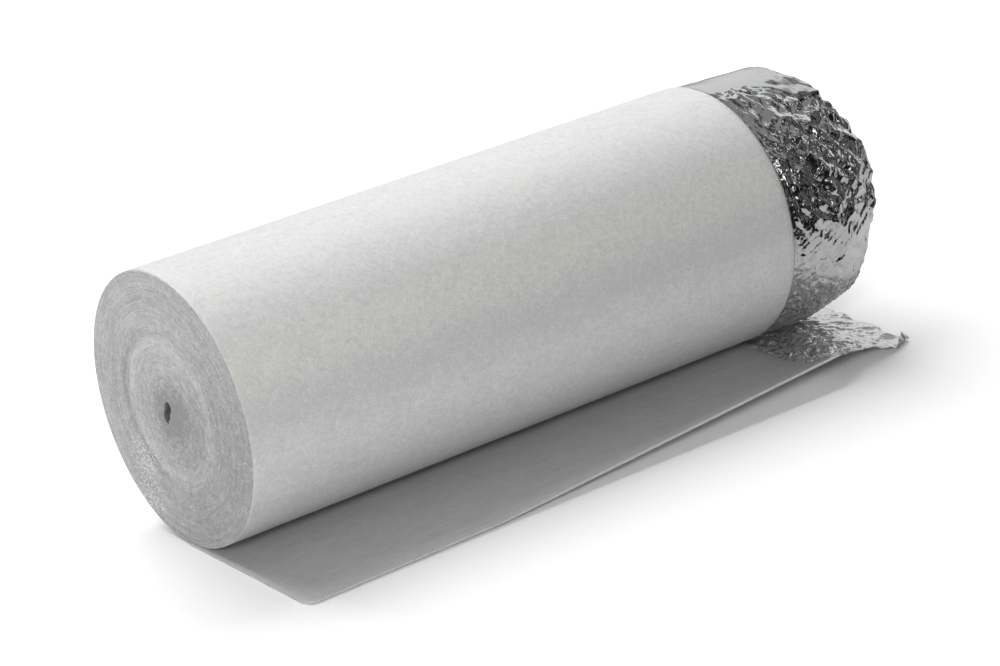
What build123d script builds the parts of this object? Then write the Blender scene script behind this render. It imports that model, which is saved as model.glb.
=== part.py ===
from build123d import *
from math import atan, cos, pi, sin
import os

os.makedirs("parts", exist_ok=True)

# A roll of foil-faced foam lying on its side. X runs along the roll from its
# cut end to its foil end, -Y is the side where the free end of the sheet lies
# out on the floor, and Z is up.

# The sheet, in millimetres
foam_width = 500.0
foam_thickness = 1.8
foil_thickness = 0.2
foil_overhang = 96.0

# The roll
roll_radius = 105.0
eye_length = 17.0
eye_width = 7.0
eye_lean = 20.0

# The winding line that shows on the cut end
marked_turns = 12
turn_groove_width = 1.4
turn_groove_depth = 1.1
innermost_turn_radius = 13.0
outermost_turn_radius = 97.0

# The free end of the sheet, seen in section at four places along the roll:
# how far it reaches out from below the roll's axis, and how high its edge is
tail_flat_reach = 70.0
cut_end_reach = 152.0
cut_end_lift = 0.6
middle_station = 170.0
middle_reach = 151.0
middle_lift = 2.0
foil_end_reach = 147.0
foil_end_lift = 23.0
flap_length = 88.0
flap_reach = 122.0
flap_lift = 4.0

# The collar of crumpled foil that stands out past the foam
collar_corners = 30
collar_mouth_radius = 96.0
collar_fold_depth = 7.0
collar_ruffle_depth = 10.0
collar_hollow_depth = 12.0
collar_lean = 6.0

# The turns of foil in the collar's mouth. They have crumpled together in
# bundles, whose edges are one winding ridge with a furrow beside it.
bundled_turns = 9
innermost_bundle_radius = 12.0
bundle_dent_depth = 1.5
furrow_depth = 30.0
eye_mouth_radius = 9.0

# Where the collar's rings lie along it, how much of the way from the foam's
# radius to the mouth's radius each has come, and how deep its folds are
collar_wall_shares = (
    (0.0, 0.0, 0.0),
    (0.16, 0.0, 0.5),
    (0.38, 0.0, 1.0),
    (0.62, 0.25, 1.0),
    (0.84, 0.6, 1.0),
    (1.0, 1.0, 0.8),
)
sheet_thickness = foam_thickness + foil_thickness


def section_point(y, z):
    """A point of a cross-section, on the plane of the cut end."""
    return Vector(0, y, z)


def quarter_arc(start, middle, end):
    """An arc in the cross-section through three of its points."""
    return ThreePointArc(section_point(*start), section_point(*middle), section_point(*end))


def spiral_outline():
    """The outer turn as four quarter arcs that lose one sheet thickness.

    Each arc is a quarter of the thickness smaller than the one before, and
    its centre moves so that the two run on smoothly. The first starts on the
    floor and the last ends on top of the free end of the sheet.
    """
    step = sheet_thickness / 4
    centres = ((0, roll_radius), (step, roll_radius), (step, roll_radius + step), (0, roll_radius + step))
    arcs = []
    for quarter, (y, z) in enumerate(centres):
        radius = roll_radius - quarter * step
        points = []
        for part in (0, 1, 2):
            angle = -pi / 2 + (quarter + part / 2) * pi / 2
            points.append((y + radius * cos(angle), z + radius * sin(angle)))
        arcs.append(quarter_arc(*points))
    return arcs


def strip_section(x, reach, lift, low, high):
    """One layer of the free end in section: flat, then curling up to its edge.

    low and high are the layer's heights above the sheet's underside.
    """
    run = reach - tail_flat_reach
    turn = 2 * atan(lift / run)
    bend = run / sin(turn)
    outlines = []
    for height in (low, high):
        radius = bend - height
        arc = []
        for part in (0, 0.5, 1):
            y = -tail_flat_reach - radius * sin(part * turn)
            arc.append(section_point(y, bend - radius * cos(part * turn)))
        outlines.append(arc)
    under, over = outlines
    root_low, root_high = section_point(0, low), section_point(0, high)
    edges = [
        Line(root_low, under[0]),
        ThreePointArc(*under),
        Line(under[2], over[2]),
        ThreePointArc(*reversed(over)),
        Line(over[0], root_high),
        Line(root_high, root_low),
    ]
    return Pos(x, 0, 0) * Face(Wire(edges))


def free_end(stations, low, high):
    """A layer of the free end, run straight from each section to the next."""
    sections = [strip_section(x, reach, lift, low, high) for x, reach, lift in stations]
    spans = [loft([a, b], ruled=True) for a, b in zip(sections, sections[1:])]
    layer = spans[0]
    for span in spans[1:]:
        layer = layer + span
    return layer


def eye_outline():
    """The oval eye that the first turn is wound round, leaning a little."""
    oval = Ellipse(eye_width / 2, eye_length / 2)
    return Plane.YZ * Pos(0, roll_radius) * Rot(0, 0, eye_lean) * oval


def turn_groove():
    """The winding line on the cut end: half-turns about two centres.

    Each half-turn is wider than the last by half the pitch, and its centre
    moves across by as much, so that the groove runs on as one spiral.
    """
    pitch = (outermost_turn_radius - innermost_turn_radius) / marked_turns
    grooves = []
    for half in range(2 * marked_turns):
        radius = innermost_turn_radius + half * pitch / 2
        side = 1 if half % 2 == 0 else -1
        centre = 0 if half % 2 == 0 else -pitch / 2
        low = roll_radius + centre + side * (radius - turn_groove_width / 2)
        high = roll_radius + centre + side * (radius + turn_groove_width / 2)
        tip = roll_radius + centre + side * radius
        notch = Polyline((0, 0, low), (turn_groove_depth, 0, tip), (0, 0, high), close=True)
        axis = Axis((0, 0, roll_radius + centre), (1, 0, 0))
        grooves.append(revolve(Face(Wire(notch.edges())), axis, revolution_arc=180))
    return grooves


def make_roll():
    """The wound foam: one turned form with its outer turn, eye and turns."""
    edges = spiral_outline()
    edges.append(Line(section_point(0, sheet_thickness), section_point(0, 0)))
    roll = extrude(Face(Wire(edges)), foam_width, dir=(1, 0, 0))
    roll = roll - extrude(eye_outline(), foam_width, dir=(1, 0, 0))
    for groove in turn_groove():
        roll = roll - groove
    return roll


def fold(line, corner):
    """How deep the foil is dented at a corner, from 0 to 1, never regular."""
    wave = sin(12.9898 * (line + 1) + 78.233 * (corner + 1)) * 43.7585
    return wave % 1


def collar_corner(corner, radius, reach, lean):
    """A corner of the collar: on its spoke, at a radius, past the foam."""
    angle = 2 * pi * corner / collar_corners - pi / 2
    return Vector(foam_width + reach, radius * cos(angle) - lean, roll_radius + radius * sin(angle))


def wall_ring(along, radius, dent, line):
    """The corners of one ring of the collar's wall, dented in by its folds.

    along is 0 at the foam and 1 at the ragged mouth, and the collar leans out
    over the free end as it goes. The lowest corner is neither dented nor
    short, because the collar rests there on the foil of the free end.
    """
    points = []
    for corner in range(collar_corners):
        dented = fold(line, corner) if corner else 0
        short = fold(len(collar_wall_shares), corner) if corner else 0
        reach = along * (foil_overhang - collar_ruffle_depth * short)
        points.append(collar_corner(corner, radius - dent * dented, reach, along * collar_lean))
    return points


def mouth_lines():
    """The winding ridge of the foil's edges in the mouth, and its furrow.

    Both start at the mouth's lowest corner, turn the way the sheet is wound
    and lose one pitch a turn. They lie further back towards the middle.
    """
    pitch = (collar_mouth_radius - innermost_bundle_radius) / bundled_turns
    ridge, furrow = [], []
    for step in range(bundled_turns * collar_corners + 1):
        uneven = fold(len(collar_wall_shares) + 1, step) if step else 0
        radius = collar_mouth_radius - pitch * step / collar_corners - bundle_dent_depth * uneven
        back = collar_hollow_depth * step / (bundled_turns * collar_corners) + collar_ruffle_depth * uneven
        ridge.append(collar_corner(step, radius, foil_overhang - back, collar_lean))
        reach = foil_overhang - back - furrow_depth
        furrow.append(collar_corner(step, radius - pitch / 2, reach, collar_lean))
    return ridge, furrow[:-collar_corners]


def eye_ring(x):
    """The corners of the eye, on the same spokes as a ring of the collar."""
    points = []
    for corner in range(collar_corners):
        angle = 2 * pi * corner / collar_corners - pi / 2
        lean = eye_lean * pi / 180
        y = eye_width / 2 * cos(angle)
        z = eye_length / 2 * sin(angle)
        points.append(Vector(x, y * cos(lean) - z * sin(lean), roll_radius + y * sin(lean) + z * cos(lean)))
    return points


def facets_between(outer, inner, turned):
    """Two triangles for each step of two lines, their diagonals by turns."""
    facets = []
    for step in range(len(outer) - 1):
        a, b, c, d = outer[step], outer[step + 1], inner[step + 1], inner[step]
        if (step + turned) % 2 == 0:
            facets += [(a, b, d), (b, c, d)]
        else:
            facets += [(a, b, c), (a, c, d)]
    return facets


def closed(ring):
    """A ring's corners with the first one again at the end."""
    return [*ring, ring[0]]


def make_collar():
    """The crumpled collar: flat facets outside, and bundled turns in its mouth."""
    base_radius = roll_radius - sheet_thickness
    rings = []
    for line, (along, drawn_in, folded) in enumerate(collar_wall_shares):
        radius = base_radius + drawn_in * (collar_mouth_radius - base_radius)
        rings.append(closed(wall_ring(along, radius, folded * collar_fold_depth, line)))
    ridge, furrow = mouth_lines()
    middle_reach = foil_overhang - collar_hollow_depth
    middle = [collar_corner(c, eye_mouth_radius, middle_reach, collar_lean) for c in range(collar_corners)]
    middle, eye = closed(middle), closed(eye_ring(foam_width))
    last_turn = ridge[-collar_corners - 1 :]
    bands = [*zip(rings, rings[1:]), (rings[-1], ridge[: collar_corners + 1])]
    bands += [(ridge[: len(furrow)], furrow), (furrow, ridge[collar_corners:])]
    bands += [(last_turn, middle), (middle, eye), (eye, rings[0])]
    facets = []
    for turned, (outer, inner) in enumerate(bands):
        facets += facets_between(outer, inner, turned)
    # The furrow's two ends, and the step where the innermost turn ends
    facets.append((ridge[0], furrow[0], ridge[collar_corners]))
    facets.append((last_turn[0], last_turn[-1], furrow[-1]))
    facets.append((last_turn[0], middle[0], last_turn[-1]))
    faces = []
    for a, b, c in facets:
        if a != b and b != c and c != a:
            faces.append(Face(Wire.make_polygon((a, b, c), close=True)))
    return Solid(Shell(faces))


# The free end's sections along the foam, and the one at the end of its flap
along_foam = (
    (0, cut_end_reach, cut_end_lift),
    (middle_station, middle_reach, middle_lift),
    (foam_width, foil_end_reach, foil_end_lift),
)
flap_end = (foam_width + flap_length, flap_reach, flap_lift)

pieces = {
    "foam_roll": make_roll(),
    "foam_free_end": free_end(along_foam, 0, foam_thickness),
    "foil_free_end": free_end((*along_foam, flap_end), foam_thickness, sheet_thickness),
    "foil_collar": make_collar(),
}

# The origin goes to the middle of the floor under the whole object
box = Compound([solid for piece in pieces.values() for solid in piece.solids()]).bounding_box()
to_origin = Pos(-box.center().X, -box.center().Y, -box.min.Z)
for name, piece in pieces.items():
    placed = to_origin * piece
    print(name, len(placed.solids()), "solid,", round(placed.volume), "cubic mm,", placed.bounding_box().size)
    export_step(placed, f"parts/{name}.step")
print("whole", box.size, "roll's axis at", to_origin.position + Vector(0, 0, roll_radius))
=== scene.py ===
# %% [markdown]
# A roll of reflective underlay: white foam with aluminium foil bonded to its
# inner face, lying on its side. The foil is wider than the foam, so at one
# end it stands out as a crumpled collar, and the free end of the sheet lies
# out on the floor with its foil side up.
#
# The imported model comes first, because every piece here is built around it.
# Its parts are kept in the scene, hidden where a piece replaces them.

# %% Load the imported model
import math
import bpy
import numpy as np
from mathutils import Matrix, Vector


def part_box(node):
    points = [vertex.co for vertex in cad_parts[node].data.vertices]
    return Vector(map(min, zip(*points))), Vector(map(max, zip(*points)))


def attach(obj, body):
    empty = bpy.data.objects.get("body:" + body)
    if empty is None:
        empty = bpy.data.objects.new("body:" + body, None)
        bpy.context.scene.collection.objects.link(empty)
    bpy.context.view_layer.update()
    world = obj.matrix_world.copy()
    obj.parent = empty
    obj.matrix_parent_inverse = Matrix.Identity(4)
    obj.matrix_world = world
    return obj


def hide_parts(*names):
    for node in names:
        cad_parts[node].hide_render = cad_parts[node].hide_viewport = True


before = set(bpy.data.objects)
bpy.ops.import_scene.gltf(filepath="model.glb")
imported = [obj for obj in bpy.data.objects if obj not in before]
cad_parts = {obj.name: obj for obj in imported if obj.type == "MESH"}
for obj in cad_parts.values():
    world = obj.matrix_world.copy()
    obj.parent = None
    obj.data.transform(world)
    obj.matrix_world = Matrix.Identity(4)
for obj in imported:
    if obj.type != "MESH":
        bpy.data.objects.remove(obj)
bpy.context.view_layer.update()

# %% [markdown]
# All the surfaces start from a few sizes. The roll's own are read from the
# box of its foam node: the height gives the radius, because the outer turn is
# a spiral that has lost a quarter of the sheet's thickness at the top. The
# flap's grid is made a little too long, and its ragged edge takes that off.

# %% The roll's sizes, in metres
FOAM = 0.0018
FOIL = 0.0002
SHEET = FOAM + FOIL
FLAP_SPARE = 0.0055
foam_low, foam_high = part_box("foam_roll")
flap_low, flap_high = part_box("foil_free_end")
mouth_low, mouth_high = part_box("foil_collar")
RADIUS = (foam_high.z - foam_low.z + SHEET / 4) / 2
AXIS_Y = foam_high.y - RADIUS
CUT_X = foam_low.x
RIM_X = foam_high.x
WIDTH = RIM_X - CUT_X
FLAP = flap_high.x - RIM_X + FLAP_SPARE
print("radius", round(RADIUS, 4), "width", round(WIDTH, 4), "axis at y", round(AXIS_Y, 4))

# %% [markdown]
# Every surface below is a grid of points worked out by a formula, so one
# helper turns such a grid into faces and another makes the mesh. A tube
# closes its columns into a ring. The faces have to point outwards, and the
# sign of the volume inside them tells whether they do. The formulas often
# need something to set in over a stretch, so there is a helper for that too.

# %% From a grid of points to a mesh
def grid_faces(rows, columns, ring=False, first=0):
    """Quads between neighbouring grid points, as whole arrays of indices."""
    across = columns if ring else columns - 1
    r, c = np.meshgrid(np.arange(rows - 1), np.arange(across), indexing="ij")
    here, after = r * columns + c, r * columns + (c + 1) % columns
    quads = np.stack([here, after, after + columns, here + columns], -1)
    return quads.reshape(-1, 4) + first


def signed_volume(points, quads):
    """Volume inside a closed mesh, negative if its faces point inwards.

    Each quad is two triangles, and each triangle adds a sixth of the triple
    product of two of its sides and a corner.
    """
    a, b, c, d = (points[quads[:, i]] for i in range(4))
    return (np.cross(b - a, c - a) * a).sum() / 6 + (np.cross(c - a, d - a) * a).sum() / 6


def make_piece(name, points, quads):
    """A closed, smooth mesh object at the origin, with its place in its points."""
    if signed_volume(points - points.mean(0), quads) < 0:
        quads = quads[:, ::-1]
    mesh = bpy.data.meshes.new(name)
    mesh.vertices.add(len(points))
    mesh.vertices.foreach_set("co", np.ascontiguousarray(points, np.float32).ravel())
    mesh.loops.add(quads.size)
    mesh.loops.foreach_set("vertex_index", quads.astype(np.int32).ravel())
    mesh.polygons.add(len(quads))
    mesh.polygons.foreach_set("loop_start", np.arange(0, quads.size, 4, dtype=np.int32))
    mesh.polygons.foreach_set("use_smooth", np.ones(len(quads), bool))
    mesh.update(calc_edges=True)
    mesh.validate()
    piece = bpy.data.objects.new(name, mesh)
    bpy.context.scene.collection.objects.link(piece)
    print(name, "points", len(points), "faces", len(quads))
    return piece


def add_value(piece, name, values):
    """A number for each point, for the piece's material to read."""
    attribute = piece.data.attributes.new(name, "FLOAT", "POINT")
    attribute.data.foreach_set("value", np.ascontiguousarray(values, np.float32).ravel())


def rise(value, start, length):
    """Zero up to a start, then rising evenly to one over a length."""
    return np.clip((value - start) / length, 0, 1)


# %% [markdown]
# The camera stands where the photograph was taken from: low, a little left of
# the roll's middle, through a long lens, and leaning slightly. Its place is
# given in roll radii from the middle of the cut end, at floor level.

# %% The camera
CAMERA_PLACE = (-10.2123, -18.6366, 9.4554)
CAMERA_YAW, CAMERA_PITCH, CAMERA_LEAN = 0.6080, 0.3686, -0.1128
FOCAL_SHARE = 3.3819
SENSOR = 36.0


def camera_axes(yaw, pitch, lean):
    """Right, up and back directions of a camera that looks along +Y at zero."""
    level = math.cos(pitch)
    forward = np.array([level * math.sin(yaw), level * math.cos(yaw), -math.sin(pitch)])
    right = np.array([math.cos(yaw), -math.sin(yaw), 0.0])
    up = np.cross(right, forward)
    leaned = math.cos(lean) * right + math.sin(lean) * up
    return leaned, math.cos(lean) * up - math.sin(lean) * right, -forward


right, up, back = camera_axes(CAMERA_YAW, CAMERA_PITCH, CAMERA_LEAN)
camera_data = bpy.data.cameras.new("camera")
camera_data.sensor_fit = "HORIZONTAL"
camera_data.sensor_width = SENSOR
camera_data.lens = SENSOR * FOCAL_SHARE
camera = bpy.data.objects.new("camera", camera_data)
place = Vector((CUT_X, AXIS_Y, 0.0)) + RADIUS * Vector(CAMERA_PLACE)
turn = Matrix((right, up, back)).transposed()
camera.matrix_world = Matrix.Translation(place) @ turn.to_4x4()
bpy.context.scene.collection.objects.link(camera)
bpy.context.scene.camera = camera
print("camera at", tuple(round(x, 3) for x in place), "lens", round(camera_data.lens, 1))

# %% [markdown]
# The wound foam is one long sheet, so its cut end is one long spiral. Rings
# would be easier, but on the real roll each turn runs on into the next, and
# the outer turn ends in a small step where the free end leaves at the bottom.
# So the grid itself follows the spiral: one column for each step round the
# roll, a few points across each turn, and a turn's last line is the next
# turn's first.

# %% Where a turn of the sheet runs
TURNS = 49
AROUND = 240
ACROSS = 4
EYE_LEAN = math.radians(20.0)
EYE_STRETCH = 0.50
EYE_EDGE = 0.004
EYE_REACH = 0.009
EYE_LEAST = 0.0035
EYE_ASIDE = (0.0067, -0.0030)
ASIDE_REACH = 0.022


def turn_line(step):
    """Y and Z of the spiral line at a number of steps from the outer end.

    The radius loses one sheet thickness a turn. Close to the eye the line is
    stretched into an oval that leans a little, and the eye lies off the axis.
    """
    angle = 2 * np.pi * step / AROUND - np.pi / 2
    radius = RADIUS - SHEET * step / AROUND
    near = np.exp(-np.maximum(radius - EYE_EDGE, 0) / EYE_REACH)
    aside = np.exp(-np.maximum(radius, 0) / ASIDE_REACH)
    radius = np.maximum(radius, EYE_LEAST) * (1 - EYE_STRETCH * near * np.cos(2 * (angle - EYE_LEAN)))
    y = AXIS_Y + EYE_ASIDE[0] * aside + radius * np.cos(angle)
    return y, RADIUS + EYE_ASIDE[1] * aside + radius * np.sin(angle)


print("the spiral starts at", turn_line(0), "and ends at", turn_line(TURNS * AROUND))

# %% [markdown]
# Real turns are never quite level: each edge is a soft bead of foam, and
# whole groups of turns stand a little in or out. A few slow waves along the
# spiral do that, so that neighbouring turns stay alike but never the same.

# %% The uneven cut end
TURN_BEAD = 0.00035
TURN_DRIFT = 0.00035
GROUP_DRIFT = 0.0006
RIM_SOFT = 0.0012
RIM_SOFT_TURNS = 0.7
TURN_WAVES = ((1.0, 2.9, 1.0), (1.0, 5.3, 2.2), (1.0, 2 * np.pi * 1.37, 0.0))
GROUP_WAVES = ((1.0, 0.47, 0.6), (0.6, 0.93, 2.0))


def slow_waves(turn, kinds):
    """Sines of the turn with their sizes, rates and starts, brought to 0 to 1."""
    total = sum(size * np.sin(turn * rate + start) for size, rate, start in kinds)
    return (total / sum(size for size, rate, start in kinds) + 1) / 2


def drift(step):
    """How far a turn's edge stands in, from slow waves along the spiral."""
    turn = step / AROUND
    return TURN_DRIFT * slow_waves(turn, TURN_WAVES) + GROUP_DRIFT * slow_waves(turn, GROUP_WAVES)


def cut_end():
    """Points and quads of the cut end, and the indices of its two borders.

    A point lies some share of the way from its turn's line to the line one
    turn further in. The bead is deepest on the lines, as one less the sine of
    that share, and the outermost turn is rounded off.
    """
    steps = np.arange((TURNS + 1) * AROUND + 1)
    share = np.arange(ACROSS) / ACROSS
    y0, z0 = turn_line(steps)
    y1, z1 = turn_line(steps + AROUND)
    y = y0[:, None] + (y1 - y0)[:, None] * share
    z = z0[:, None] + (z1 - z0)[:, None] * share
    bead = TURN_BEAD * (1 - np.sin(np.pi * share))
    edge = RIM_SOFT * (1 - rise(steps[:, None] / AROUND + share, 0, RIM_SOFT_TURNS)) ** 2
    x = CUT_X + drift(steps)[:, None] + bead + edge
    points = np.stack([x, y, z], -1).reshape(-1, 3)
    k, q = np.meshgrid(np.arange(TURNS * AROUND), np.arange(ACROSS), indexing="ij")
    here = k * ACROSS + q
    across = np.where(q + 1 < ACROSS, here + 1, (k + AROUND) * ACROSS)
    quads = np.stack([here, across, across + ACROSS, here + ACROSS], -1).reshape(-1, 4)
    borders = []
    for first in (0, TURNS * AROUND):
        line = (first + np.arange(AROUND + 1)) * ACROSS
        start = first * ACROSS + np.arange(ACROSS - 1, 0, -1)
        borders.append(np.concatenate([line, start]))
    return points, quads, borders


end_points, end_quads, (outer_border, eye_border) = cut_end()
print("cut end points", len(end_points), "quads", len(end_quads))

# %% [markdown]
# The rest of the roll hangs on the two borders of the cut end: the outer one
# is carried along the roll to the foil end, shrinks there to the eye, and the
# eye's tube runs back to the cut end's inner border. All that is one grid of
# rows between two borders, so the roll is closed.

# %% The wound foam
WALL_ROWS, FACE_ROWS, EYE_ROWS = 110, 10, 12
BORDER_GAP = 0.003
RIM_BACK, RIM_ROUND, RIM_FLAT = 0.0008, 0.0011, 0.003


def carried(border, x):
    """The points of a border, moved to one place along the roll."""
    return border * (0, 1, 1) + (x, 0, 0)


def drawn_in(line, inset):
    """A line round the roll, shrunk about the axis by an inset at the radius."""
    axis = np.array((0, AXIS_Y, RADIUS))
    kept = 1 - inset / RADIUS
    return (line - axis) * (1, kept, kept) + axis


def stitch(first_border, rows, last_border, start):
    """Quads from one border through new rows of points to another border."""
    count = len(first_border)
    inner = start + np.arange(rows * count).reshape(rows, count)
    grid = np.vstack([first_border[None], inner, last_border[None]])
    after = np.roll(grid, -1, axis=1)
    return np.stack([grid[:-1], after[:-1], after[1:], grid[1:]], -1).reshape(-1, 4)


def wound_foam():
    """The closed roll: cut end, outside, foil end and the tube of the eye.

    Also gives each point's place along the spiral in turns, whether it lies
    on the line between two turns, and which faces are on the cut end.
    """
    rim, hole = end_points[outer_border], end_points[eye_border]
    along = CUT_X + BORDER_GAP + (WIDTH - 2 * BORDER_GAP) * np.linspace(0, 1, WALL_ROWS)
    rows = [carried(rim, x) for x in along]
    rows.append(drawn_in(carried(rim, RIM_X - RIM_BACK), RIM_ROUND))
    face_rim, face_hole = drawn_in(carried(rim, RIM_X), RIM_FLAT), carried(hole, RIM_X)
    rows += [face_rim + (face_hole - face_rim) * share for share in np.linspace(0, 1, FACE_ROWS)]
    rows += [carried(hole, x) for x in np.linspace(RIM_X, CUT_X + BORDER_GAP, EYE_ROWS)[1:]]
    wall = stitch(outer_border, len(rows), eye_border, len(end_points))
    points = np.concatenate([end_points, *rows])
    quads = np.concatenate([end_quads, wall])
    used, renumbered = np.unique(quads, return_inverse=True)
    wound = np.zeros(len(points))
    edge = np.zeros(len(points))
    step, across = np.divmod(np.arange(len(end_points)), ACROSS)
    wound[: len(end_points)] = step / AROUND + across / ACROSS
    edge[: len(end_points)] = across == 0
    on_cut_end = (np.arange(len(quads)) < len(end_quads)).astype(np.int32)
    return points[used], renumbered.reshape(-1, 4), wound[used], edge[used], on_cut_end


roll_points, roll_quads, wound, edge, on_cut_end = wound_foam()
roll = make_piece("foam_roll_wound", roll_points, roll_quads)
add_value(roll, "wound", wound)
add_value(roll, "edge", edge)
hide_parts("foam_roll")
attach(roll, "root")

# %% [markdown]
# The free end leaves the roll at the bottom and lies out on the floor. It is
# still a little curled from the winding, so its edge lifts, hardly at the cut
# end and by a couple of centimetres at the foil end. In section it is a flat
# stretch that runs on into one gentle arc, and only the reach and the lift
# change along the roll. Foam and foil are two layers of the same sheet, so
# one function gives the points of both.

# %% Where the free end lies
FLAT_REACH = 0.070
STATIONS = np.array((0.0, 0.170, WIDTH, WIDTH + 0.43 * FLAP, WIDTH + 0.75 * FLAP, WIDTH + FLAP))
REACHES = np.array((0.152, 0.151, 0.147, 0.133, 0.133, 0.133))
LIFTS = np.array((0.0006, 0.0020, 0.0230, 0.0090, 0.0012, 0.0008))
CORNER = 0.009


def free_end_points(along, share, height):
    """Points of the sheet at places along the roll and out from under it.

    along is the distance from the cut end, share is 0 under the roll's axis
    and 1 at the edge, height is measured square to the sheet. The arc turns
    by twice the angle whose tangent is the lift over the run, so it starts
    level and ends at the lift. The corner at the cut end is rounded.
    """
    reach = np.interp(along, STATIONS, REACHES)
    lift = np.interp(along, STATIONS, LIFTS)
    corner = 1 - rise(along, 0, CORNER)
    reach_out = reach - CORNER * (1 - np.sqrt(1 - corner**2))
    run = reach - FLAT_REACH
    bend_angle = 2 * np.arctan2(lift, run)
    bend = run / np.sin(bend_angle)
    out = share * (FLAT_REACH + bend * bend_angle) * reach_out / reach
    angle = np.clip(out - FLAT_REACH, 0, None) / bend
    y = np.minimum(out, FLAT_REACH) + (bend - height) * np.sin(angle)
    z = bend - (bend - height) * np.cos(angle)
    return np.stack([CUT_X + along + 0 * y, AXIS_Y - y, z], -1)


print("the free end reaches", REACHES.max(), "and lifts", LIFTS.max())

# %% [markdown]
# A layer of the sheet is a slab: one grid of points for its underside, one
# for its top, and a strip of faces round the edge that joins the two borders.

# %% The foam of the free end
FOAM_ROWS, FOAM_COLUMNS = 170, 60


def slab(name, under, over):
    """A closed thin piece between two grids of points of the same shape."""
    rows, columns = under.shape[:2]
    count = rows * columns
    index = np.arange(count).reshape(rows, columns)
    border = np.concatenate([index[0, :-1], index[:-1, -1], index[-1, :0:-1], index[:0:-1, 0]])
    after = np.roll(border, -1)
    side = np.stack([border, after, after + count, border + count], -1)
    low = grid_faces(rows, columns)[:, ::-1]
    high = grid_faces(rows, columns, first=count)
    points = np.concatenate([under.reshape(-1, 3), over.reshape(-1, 3)])
    return make_piece(name, points, np.concatenate([low, high, side]))


foam_along, foam_share = np.meshgrid(
    np.linspace(0, WIDTH, FOAM_ROWS), np.linspace(0, 1, FOAM_COLUMNS), indexing="ij"
)
free_foam = slab(
    "foam_free_end_sheet",
    free_end_points(foam_along, foam_share, 0.0),
    free_end_points(foam_along, foam_share, FOAM),
)
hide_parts("foam_free_end")
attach(free_foam, "root")

# %% [markdown]
# Crumpled foil is a patchwork of small flat facets with sharp creases between
# them. Smooth noise looks like cloth instead. Here two sets of points are
# scattered, and at each place the squared distances to the nearest point of
# either set are subtracted. The curved parts of the two squares cancel out,
# so what is left is made only of flat facets.

# %% Flat facets and slow waves
CELLS = 256
NEIGHBOURS = range(-2, 3)


def nearest_squared(u, v, random):
    """Squared distance to the nearest of one scattered point in each cell."""
    spots = random.random((CELLS, CELLS, 2))
    u_cell, v_cell = np.floor(u).astype(int), np.floor(v).astype(int)
    best = np.full(u.shape, np.inf)
    for du in NEIGHBOURS:
        for dv in NEIGHBOURS:
            cu, cv = u_cell + du, v_cell + dv
            spot = spots[cu % CELLS, cv % CELLS]
            best = np.minimum(best, (cu + spot[..., 0] - u) ** 2 + (cv + spot[..., 1] - v) ** 2)
    return best


def facets(u, v, seed):
    """Flat facets with sharp creases, from about -1 to 1, one to a cell."""
    random = np.random.default_rng(seed)
    first = nearest_squared(u, v, random)
    return first - nearest_squared(u, v, random)


def waves(u, v, seed):
    """Smooth noise from -1 to 1, eased between random values on a grid."""
    table = np.random.default_rng(seed).uniform(-1, 1, (CELLS, CELLS))
    u_cell, v_cell = np.floor(u).astype(int), np.floor(v).astype(int)
    fu, fv = u - u_cell, v - v_cell
    fu, fv = fu * fu * (3 - 2 * fu), fv * fv * (3 - 2 * fv)
    u_low, u_high = u_cell % CELLS, (u_cell + 1) % CELLS
    v_low, v_high = v_cell % CELLS, (v_cell + 1) % CELLS
    here = table[u_low, v_low] * (1 - fu) + table[u_high, v_low] * fu
    there = table[u_low, v_high] * (1 - fu) + table[u_high, v_high] * fu
    return here * (1 - fv) + there * fv


sample = facets(*np.meshgrid(np.linspace(0, 9, 90), np.linspace(0, 9, 90)), 3)
print("facets from", round(sample.min(), 2), "to", round(sample.max(), 2))

# %% [markdown]
# Real foil has creases of every size. Facets of several sizes are added up,
# and the larger ones push the smaller ones aside, which breaks up long
# straight creases. Where the foil was drawn one way, as along the collar's
# rim, the facets are stretched into folds that lean.

# %% Crumples and folds
PUSH, PUSH_APART = 0.22, 9.3


def crumple(s, t, seed, sizes, heights):
    """Facets of several sizes, each size warped by the ones before it.

    s and t are places on the foil in metres. Returns one array for each
    size, so that they can be weighted by zone.
    """
    layers = []
    warp_s, warp_t = 0, 0
    for order, (size, height) in enumerate(zip(sizes, heights)):
        u, v, first = (s + warp_s) / size, (t + warp_t) / size, seed + 2 * order
        layer = facets(u, v, first)
        layers.append(height * layer)
        warp_s = warp_s + PUSH * size * layer
        warp_t = warp_t - PUSH * size * facets(v + PUSH_APART, (s + warp_s) / size, first + 1)
    return layers


def long_facets(s, t, height, lean, width, length, seed):
    """Facets drawn out into folds, that lean by an angle from the rim's line."""
    turned = math.radians(lean)
    along = s * math.cos(turned) + t * math.sin(turned)
    across = t * math.cos(turned) - s * math.sin(turned)
    return height * facets(across / width, along / length, seed)


print("a facet pushes smaller ones aside by up to", PUSH, "of its size")

# %% [markdown]
# Past the foam the foil has nothing behind it, so its turns stand out as a
# crumpled collar. It is a tube grid: round the roll, and out from the foam's
# rim to a ragged mouth. Each stretch has its own character, as on the real
# roll: the outer layer is still smooth on top and ends in a ledge, the side
# is crushed into dark and bright folds, with long pleats along the rim, lower
# down there are broad flat panels, and below them the foil is finely creased
# and dull. Angles are in degrees, 90 on top and 180 over the free end.

# %% Zones round the collar
BORDER_OUTS = (0.0, 0.032, 0.052, 0.062, 0.096)
BORDER_ANGLES = (99, 101, 108, 119, 119)
BORDER_SOFT = 1.6
REAR_BORDER, REAR_SOFT = 20, 6
PANELS = (193, 14, 8)
DULL = (238, 30, 5)
WANDER, WANDER_OUT, WANDER_ROUND = 3.5, 0.012, 25


def zone(angle, middle, half, soft):
    """One inside a stretch of angles in degrees, with soft edges."""
    apart = np.abs((angle - middle + 180) % 360 - 180)
    return np.clip((half - apart) / soft + 0.5, 0, 1)


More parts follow.
